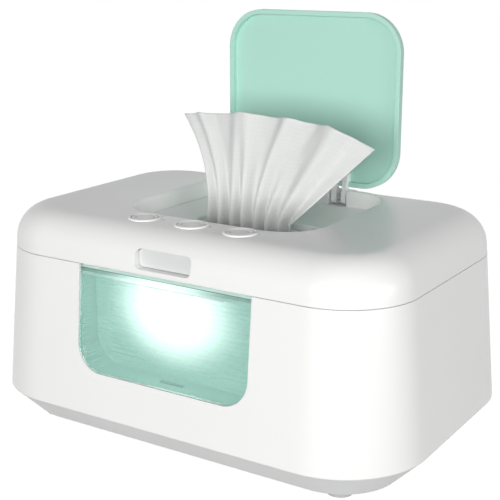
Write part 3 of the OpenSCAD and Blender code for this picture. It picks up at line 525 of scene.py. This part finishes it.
def sheet_piece(name, point, across, along, size, thick):
    """A thin sheet over a grid: point(u, v) is a place in metres, and size is its flat cut."""
    shape = bmesh.new()
    cloth_uv = shape.loops.layers.uv.new("cloth")
    rows = []
    for j in range(along + 1):
        rows.append([shape.verts.new(point(i / across, j / along)) for i in range(across + 1)])
    for j in range(along):
        for i in range(across):
            corners = ((i, j), (i + 1, j), (i + 1, j + 1), (i, j + 1))
            face = shape.faces.new([rows[b][a] for a, b in corners])
            face.smooth = True
            for loop, (a, b) in zip(face.loops, corners):
                loop[cloth_uv].uv = (a / across * size[0], b / along * size[1])
    area = sum(f.calc_area() for f in shape.faces)
    piece = into_scene(name, mesh_of(name, shape, LOOKS["wipe"]))
    wall = piece.modifiers.new("thickness", "SOLIDIFY")
    wall.thickness = thick
    wall.offset = 0
    return piece, area


print("sheet helper ready")

# %% [markdown]
# One wipe stands up through the slot. Its shape follows a rule: across the sheet a wave
# makes a few broad pleats, and up the sheet their depth and the fan's width grow, while the
# tight gathers of the neck fade. Vertex maths gives that better than a cloth simulation,
# because the photograph shows where each pleat lies. The wipe rides the top cover.

# %% Pulled wipe
wipe_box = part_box("pulled_wipe")
slot_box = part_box("dispenser_gasket")
SLOT_Y = (slot_box[0][1] + slot_box[1][1]) / 2
SLOT_Z = slot_box[1][2]
SLOT_LEFT, SLOT_RIGHT = -31 * MM, 21 * MM
TOP_LEFT, TOP_RIGHT = -49.5 * MM, 64.5 * MM
WIPE_LOW = wipe_box[0][2]
WIPE_TOP = wipe_box[1][2] - 2 * MM
NECK_SHARE = (SLOT_Z - WIPE_LOW) / (WIPE_TOP - WIPE_LOW)
WIPE_CUT = (126 * MM, 88 * MM)
WIPE_GRID = (150, 90)
WIPE_THICK = 0.5 * MM
PLEATS = ((0.10, 0.035, 0.45), (0.36, 0.075, 1.0), (0.60, 0.06, 0.9), (0.83, 0.07, 1.0))
PLEAT_DEPTH = 6.4 * MM
GATHERS = 7
GATHER_DEPTH = 2.8 * MM
FINE_FOLDS = 11
FINE_DEPTH = 0.35 * MM
CRUMPLE = 1.1 * MM
LEAN_BACK = 1.5 * MM
EDGE_BOW = 2.4 * MM
EDGE_WAVE = 2 * MM
EDGE_DROOP = 9 * MM
DROOP_FROM = 0.8


def pleat_wave(u):
    """Rounded ridges at the pleats, each with its own place, width and depth."""
    ridge = sum(depth * math.exp(-((u - place) / width) ** 2) for place, width, depth in PLEATS)
    return 1.15 * ridge - 0.35


def top_edge(u):
    """The top edge's height: it bows up, follows the pleats and droops at the right."""
    bow = EDGE_BOW * math.sin(math.pi * min(1, u * 1.25))
    droop = EDGE_DROOP * max(0, u - DROOP_FROM) / (1 - DROOP_FROM)
    return WIPE_TOP - 2 * MM + bow + EDGE_WAVE * pleat_wave(u) - droop


def wipe_point(u, v):
    """A place on the sheet. Above the slot, t runs from 0 at the slot to 1 at the top."""
    if v < NECK_SHARE:
        t = 0.0
        z = WIPE_LOW + (SLOT_Z - WIPE_LOW) * v / NECK_SHARE
    else:
        t = (v - NECK_SHARE) / (1 - NECK_SHARE)
        z = SLOT_Z + (top_edge(u) - SLOT_Z) * t
    low_x = SLOT_LEFT + (SLOT_RIGHT - SLOT_LEFT) * u
    high_x = TOP_LEFT + (TOP_RIGHT - TOP_LEFT) * u
    spread = t ** (2.1 - 1.1 * u)
    gather = GATHER_DEPTH * math.cos(2 * math.pi * GATHERS * u) * (1 - t)
    pleat = (0.15 + 0.85 * t) * PLEAT_DEPTH * pleat_wave(u) * min(1, 4 * t + 0.3)
    crumple = CRUMPLE * t * noise.noise(Vector((u * 14, v * 3.5, 0.4)))
    fine_fold = FINE_DEPTH * math.sin(2 * math.pi * (FINE_FOLDS * u + 0.35 * v))
    y = SLOT_Y - gather - pleat + crumple + fine_fold + LEAN_BACK * t
    return (low_x + (high_x - low_x) * spread, y, z)


pulled, area = sheet_piece("pulled_wipe_cloth", wipe_point, *WIPE_GRID, WIPE_CUT, WIPE_THICK)
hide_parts("pulled_wipe")
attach(pulled, "cover")
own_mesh(pulled)
cut_area = WIPE_CUT[0] * WIPE_CUT[1]
print("pulled wipe: area", round(area * 1e4), "cm2 of", round(cut_area * 1e4), "cm2 flat")

# %% [markdown]
# Below it lie the other wipes, each folded once along one long side. One profile, two
# plies and a round fold, is swept along the sheet; a loop lays the layers on each other
# and turns every second one round. Fixed noise keeps the edges from lining up.

# %% Folded wipes
stack_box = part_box("wipe_stack")
LAYERS = 14
LAYER = (stack_box[1][2] - stack_box[0][2]) / LAYERS
STACK_W = stack_box[1][0] - stack_box[0][0]
STACK_D = stack_box[1][1] - stack_box[0][1]
FOLDED_CUT = (STACK_W - 4 * MM, 2 * STACK_D - 8 * MM)
FOLDED_GRID = (36, 56)
FOLDED_THICK = 0.6 * MM
PLY_GAP = LAYER * 0.42
FOLD_R = PLY_GAP / 2
FOLD_RUN = math.pi * FOLD_R
STACK_REACH = STACK_D / 2 - 1.5 * MM - FOLD_R
PLY_RUN = 2 * STACK_REACH


def folded_point(layer):
    """The rule of one layer: a ply, a round fold, and the second ply back over the first."""
    side = 1 if layer % 2 else -1
    low = stack_box[0][2] + layer * LAYER + LAYER * 0.28
    trim = (1.2 * noise.noise(Vector((layer, 3, 7)))) * MM

    def point(u, v):
        run = v * (2 * PLY_RUN + FOLD_RUN)
        x = (u - 0.5) * FOLDED_CUT[0] + trim
        if run < PLY_RUN:
            y, z = -STACK_REACH + run, 0.0
        elif run < PLY_RUN + FOLD_RUN:
            a = (run - PLY_RUN) / FOLD_R
            y, z = STACK_REACH + FOLD_R * math.sin(a), FOLD_R * (1 - math.cos(a))
        else:
            y, z = STACK_REACH - (run - PLY_RUN - FOLD_RUN), PLY_GAP
        wave = 0.22 * MM * noise.noise(Vector((x * 45, y * 45, layer * 1.7)))
        return (x, side * y, low + z + wave)
    return point


for layer in range(LAYERS):
    wipe_name = f"folded_wipe_{layer + 1:02d}"
    wipe, area = sheet_piece(wipe_name, folded_point(layer), *FOLDED_GRID, FOLDED_CUT, FOLDED_THICK)
    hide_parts("wipe_stack")
    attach(wipe, "housing")
print(LAYERS, "folded wipes, each", round(area * 1e4), "cm2")


# %% [markdown]
# Round buttons come from a half section that is spun about the button's own middle. A
# rounded rim, a ring groove and a shallow dish make the bright crescent and the dark ring
# that the photograph shows. A raised ring on the cover goes round each button.

# %% Spin helper
def spun_piece(name, profile, centre, look, steps=72):
    """Spins (radius, height) points about the upright line through centre, in metres."""
    shape = bmesh.new()
    line = [shape.verts.new((centre[0] + r, centre[1], z)) for r, z in profile]
    edges = [shape.edges.new(pair) for pair in zip(line, line[1:])]
    bmesh.ops.spin(shape, geom=line + edges, cent=(centre[0], centre[1], 0), axis=(0, 0, 1),
                   angle=2 * math.pi, steps=steps, use_merge=True)
    bmesh.ops.remove_doubles(shape, verts=shape.verts, dist=0.000005)
    bmesh.ops.recalc_face_normals(shape, faces=shape.faces)
    for face in shape.faces:
        face.smooth = True
    return into_scene(name, mesh_of(name, shape, look))


def arc(centre, radius, start, end, steps=6):
    """Points on an arc in the half section, with angles in degrees."""
    turns = [math.radians(start + (end - start) * k / steps) for k in range(steps + 1)]
    return [(centre[0] + radius * math.cos(a), centre[1] + radius * math.sin(a)) for a in turns]


print("spin helper ready")

# %% [markdown]
# The cap's face is a short table of steps from the groove's outer edge: how far inwards, and
# how far below the rim. All three buttons are the same, each at its own node's place.

# %% Buttons
RISE = 0.7 * MM
FLANGE_W = 1.2 * MM
FLANGE_T = 1 * MM
RIM_R = 0.7 * MM
RIM_W = 1.3 * MM
FACE_MM = ((0, 0.05), (0.3, 0.7), (0.8, 0.75), (1.2, 0.25), (1.8, 0.2), (3, 0.35))
DISH = 0.45 * MM
RING_GAP = 0.3 * MM
RING_W = 1.4 * MM
RING_H = 0.8 * MM
RING_SUNK = 1.2 * MM
RING_R_IN, RING_R_OUT = 0.5 * MM, 0.8 * MM
body_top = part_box("top_cover")[1][2]
top = body_top + RISE
crest = body_top + RING_H
for name in ("power_button", "heat_button", "light_button"):
    low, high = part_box(name)
    centre = ((low[0] + high[0]) / 2, (low[1] + high[1]) / 2)
    flange_r = (high[0] - low[0]) / 2
    radius = flange_r - FLANGE_W
    groove = radius - RIM_W
    flange_top = low[2] + FLANGE_T
    profile = [(0, low[2]), (flange_r, low[2]), (flange_r, flange_top), (radius, flange_top)]
    profile += arc((radius - RIM_R, top - RIM_R), RIM_R, 0, 90)
    profile += [(groove - inwards * MM, top - down * MM) for inwards, down in FACE_MM]
    profile += [(0, top - DISH)]
    cap = spun_piece(name + "_cap", profile, centre, LOOKS["button"])
    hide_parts(name)
    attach(cap, name)
    inner = radius + RING_GAP
    outer = inner + RING_W
    foot = body_top - RING_SUNK
    ring = [(inner, foot)]
    ring += arc((inner + RING_R_IN, crest - RING_R_IN), RING_R_IN, 180, 90)
    ring += arc((outer - RING_R_OUT, crest - RING_R_OUT), RING_R_OUT, 90, 0)
    ring += [(outer, foot), (inner, foot)]
    guard = spun_piece(name + "_ring", ring, centre, LOOKS["housing"])
    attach(guard, "cover")
print("buttons with rings, top at", round(top / MM, 1), "mm")

# %% [markdown]
# Soft fingers close round the wipe. Each has a broad root and a round tip that rises a
# little. One finger is made here, and it is repeated in the next step.

# %% One finger
gasket_low, gasket_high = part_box("dispenser_gasket")
gasket_mid = ((gasket_low[0] + gasket_high[0]) / 2, (gasket_low[1] + gasket_high[1]) / 2)
SLOT_W, SLOT_D = 74 * MM, 26 * MM
FINGERS = 7
FINGER_PITCH = (SLOT_W - 20 * MM) / FINGERS
FINGER_GAP = 0.8 * MM
FINGER_LEN = SLOT_D / 2 - 4.4 * MM
FINGER_T = 0.9 * MM
TIP_RISE = 1.2 * MM
HALF_OUTLINE = ((-0.5, 0), (-0.42, 0.55), (-0.24, 0.85), (-0.1, 1))
outline = [*HALF_OUTLINE, *((-x, y) for x, y in reversed(HALF_OUTLINE))]


def finger_loop(shape, lift):
    """One level of the finger, as a loop of points that follows its outline."""
    wide = FINGER_PITCH - FINGER_GAP
    return [shape.verts.new((x * wide, y * FINGER_LEN, lift + TIP_RISE * y ** 2)) for x, y in outline]


shape = bmesh.new()
below = finger_loop(shape, 0.0)
above = finger_loop(shape, FINGER_T)
shape.faces.new(below[::-1])
shape.faces.new(above)
for k in range(len(outline)):
    shape.faces.new((below[k], below[k - 1], above[k - 1], above[k]))
bmesh.ops.recalc_face_normals(shape, faces=shape.faces)
finger = bpy.data.objects.new("finger", mesh_of("finger", shape))
print("finger", round(FINGER_LEN / MM, 1), "mm long")


# %% [markdown]
# Geometry Nodes set the fingers out: a line of points for each side of the slot, and one
# finger on each point, turned to face the other side. The tree takes its sizes from named
# inputs, and its result is baked to a plain mesh.

# %% Fingers set out by nodes
def baked(name, tree, **inputs):
    """Runs a node tree on an empty mesh and keeps its result as a plain mesh object."""
    maker = into_scene(name + "_maker", bpy.data.meshes.new(name + "_maker"))
    modifier = maker.modifiers.new("nodes", "NODES")
    modifier.node_group = tree
    ids = {i.name: i.identifier for i in tree.interface.items_tree if i.in_out == "INPUT"}
    for label, value in inputs.items():
        modifier[ids[label.replace("_", " ")]] = value
    bpy.context.view_layer.update()
    done = maker.evaluated_get(bpy.context.evaluated_depsgraph_get())
    mesh = bpy.data.meshes.new_from_object(done)
    maker.modifiers.clear()
    bpy.data.objects.remove(maker)
    return into_scene(name, mesh)


rows = Group("finger_rows",
             [("Finger", "NodeSocketObject", None), ("Count", "NodeSocketInt", FINGERS), ("Pitch", F, 0.008),
              ("Half depth", F, 0.012), ("Middle", V, (0, 0, 0)), ("Look", "NodeSocketMaterial", None)],
             [("Geometry", SHAPE)], "GeometryNodeTree")
given = rows.given
source = rows.add("GeometryNodeObjectInfo", Object=given["Finger"]).outputs["Geometry"]
left = rows.math("MULTIPLY", rows.math("MULTIPLY_ADD", given["Count"], -0.5, 0.5), given["Pitch"])
step = rows.add("ShaderNodeCombineXYZ", X=given["Pitch"]).outputs[0]
join = rows.add("GeometryNodeJoinGeometry")
for side in (-1, 1):
    away = rows.math("MULTIPLY", given["Half depth"], side)
    first = rows.add("ShaderNodeCombineXYZ", X=left, Y=away).outputs[0]
    start = rows.vector("ADD", first, given["Middle"])[0]
    line = rows.add("GeometryNodeMeshLine", Count=given["Count"], Start_Location=start, Offset=step)
    facing = (0, 0, math.pi if side > 0 else 0)
    put = rows.add("GeometryNodeInstanceOnPoints", Points=line.outputs[0], Instance=source, Rotation=facing)
    rows.feed(put.outputs[0], join.inputs[0])
real = rows.add("GeometryNodeRealizeInstances", Geometry=join.outputs[0])
painted = rows.add("GeometryNodeSetMaterial", Geometry=real.outputs[0], Material=given["Look"])
rows.result("Geometry", painted.outputs[0])

fingers = baked("gasket_fingers", rows.tree, Finger=finger, Count=FINGERS, Pitch=FINGER_PITCH,
                Half_depth=SLOT_D / 2 - 0.6 * MM,
                Middle=(*gasket_mid, gasket_low[2] + 0.5 * MM), Look=LOOKS["soft_seal"])
bpy.data.objects.remove(finger)
print("fingers:", 2 * FINGERS, "faces", len(fingers.data.polygons))


# %% [markdown]
# The plate that carries the fingers is flat, with round corners and a round-ended opening.
# Four loops of points bound it, two outside and two inside, and strips of faces join them.

# %% Gasket plate
GASKET_T = 1.6 * MM
GASKET_R = 11.8 * MM
CORNERS = ((1, 1, 0), (-1, 1, 90), (-1, -1, 180), (1, -1, 270))
CORNER_STEPS = 8


def round_loop(shape, half_w, half_d, r, z):
    """A rounded rectangle round the gasket's middle, at one height."""
    loop = []
    for side_x, side_y, start in CORNERS:
        for k in range(CORNER_STEPS + 1):
            a = math.radians(start + 90 * k / CORNER_STEPS)
            x = gasket_mid[0] + side_x * (half_w - r) + r * math.cos(a)
            y = gasket_mid[1] + side_y * (half_d - r) + r * math.sin(a)
            loop.append(shape.verts.new((x, y, z)))
    return loop


shape = bmesh.new()
levels = (gasket_low[2], gasket_low[2] + GASKET_T)
outside = (gasket_high[0] - gasket_mid[0], gasket_high[1] - gasket_mid[1], GASKET_R)
opening = (SLOT_W / 2 - 1.6 * MM, SLOT_D / 2 - 1.5 * MM, SLOT_D / 2 - 2 * MM)
loops = [round_loop(shape, *form, z) for form in (outside, opening) for z in levels]
for one, two in ((0, 1), (1, 3), (3, 2), (2, 0)):
    for k in range(len(loops[0])):
        shape.faces.new((loops[one][k - 1], loops[one][k], loops[two][k], loops[two][k - 1]))
bmesh.ops.recalc_face_normals(shape, faces=shape.faces)
plate = into_scene("gasket_plate", mesh_of("gasket_plate", shape, LOOKS["soft_seal"]))
for piece in (plate, fingers):
    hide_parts("dispenser_gasket")
    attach(piece, "cover")
print("gasket plate faces:", len(plate.data.polygons))

# %% End
print("end of the script")
